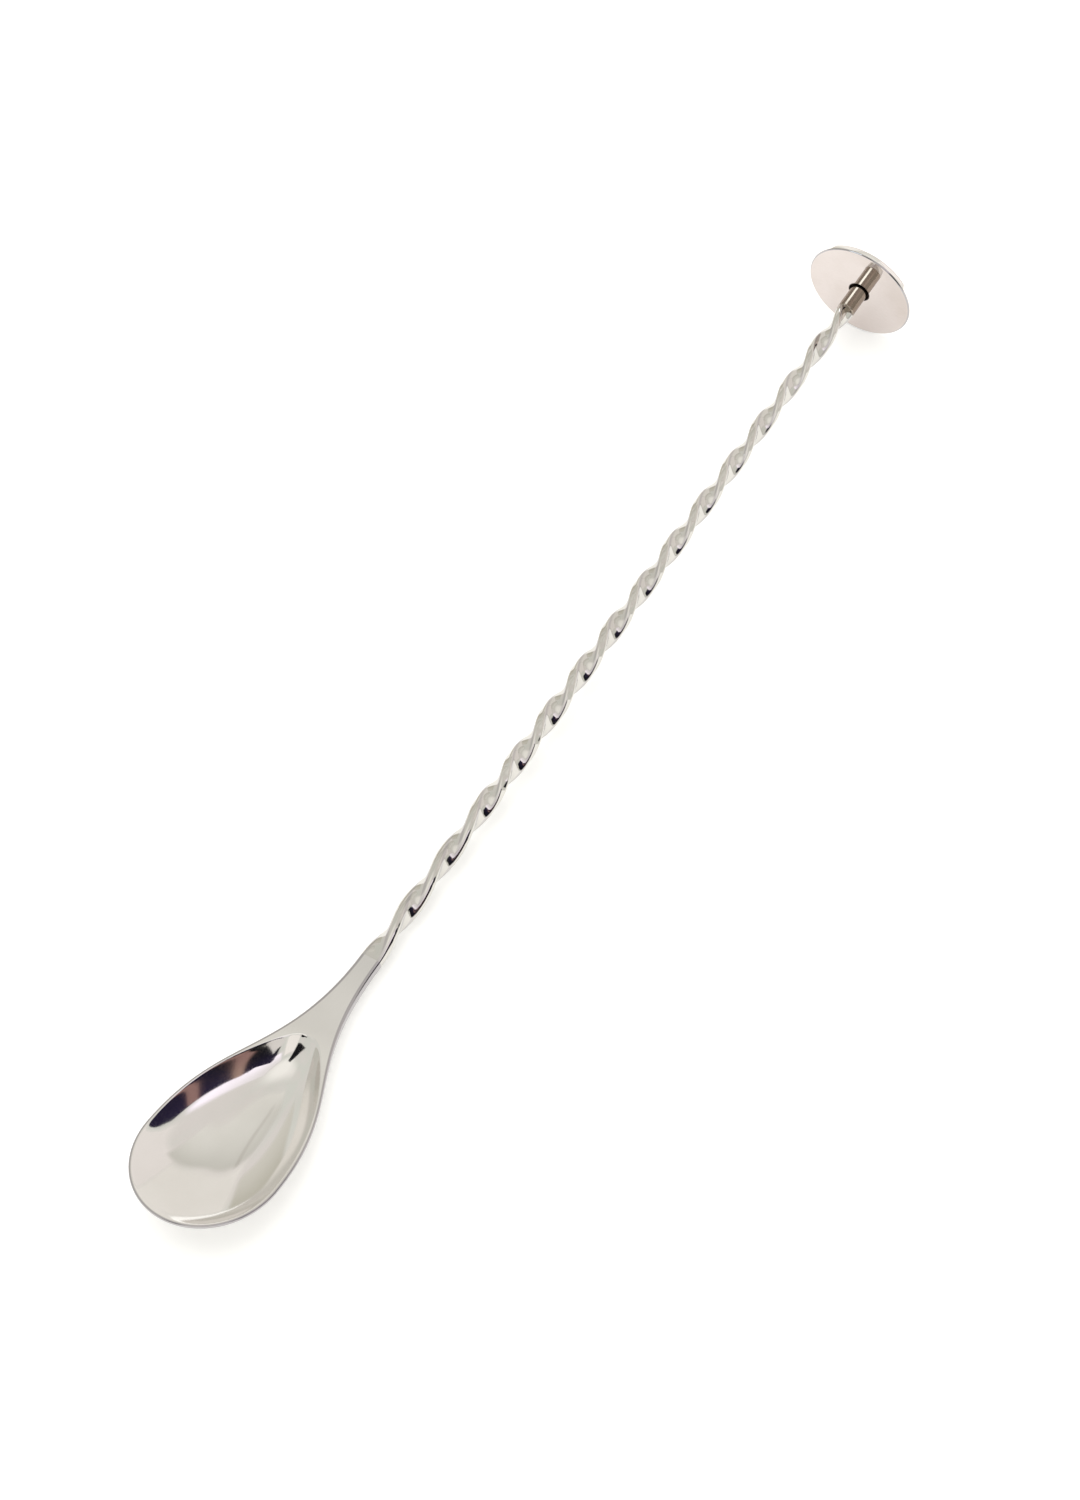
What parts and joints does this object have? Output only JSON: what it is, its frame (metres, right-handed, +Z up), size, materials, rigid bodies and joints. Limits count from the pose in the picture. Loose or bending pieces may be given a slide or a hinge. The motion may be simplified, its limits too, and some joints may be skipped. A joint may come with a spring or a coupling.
{
  "type": "bar spoon",
  "caption": "Long bar spoon with a turned-up teardrop bowl, a flat bar stem twisted along its length, and a mirror-polished muddling disc set on a round collar at the far end.",
  "frame": {"origin": "on the table under the middle of the spoon, which lies on its bowl and the rim of its disc", "axes": "+X along the spoon from the tip of the bowl to the disc, +Z up out of the bowl's hollow"},
  "size_m": [0.2802, 0.0304, 0.0255],
  "materials": {
    "polished_steel": "polished stainless steel",
    "mirror_steel": "mirror-polished stainless steel"
  },
  "bodies": {
    "root": {"bowl": "polished_steel", "stem": "polished_steel", "collar": "polished_steel", "disc": "mirror_steel"}
  },
  "joints": []
}
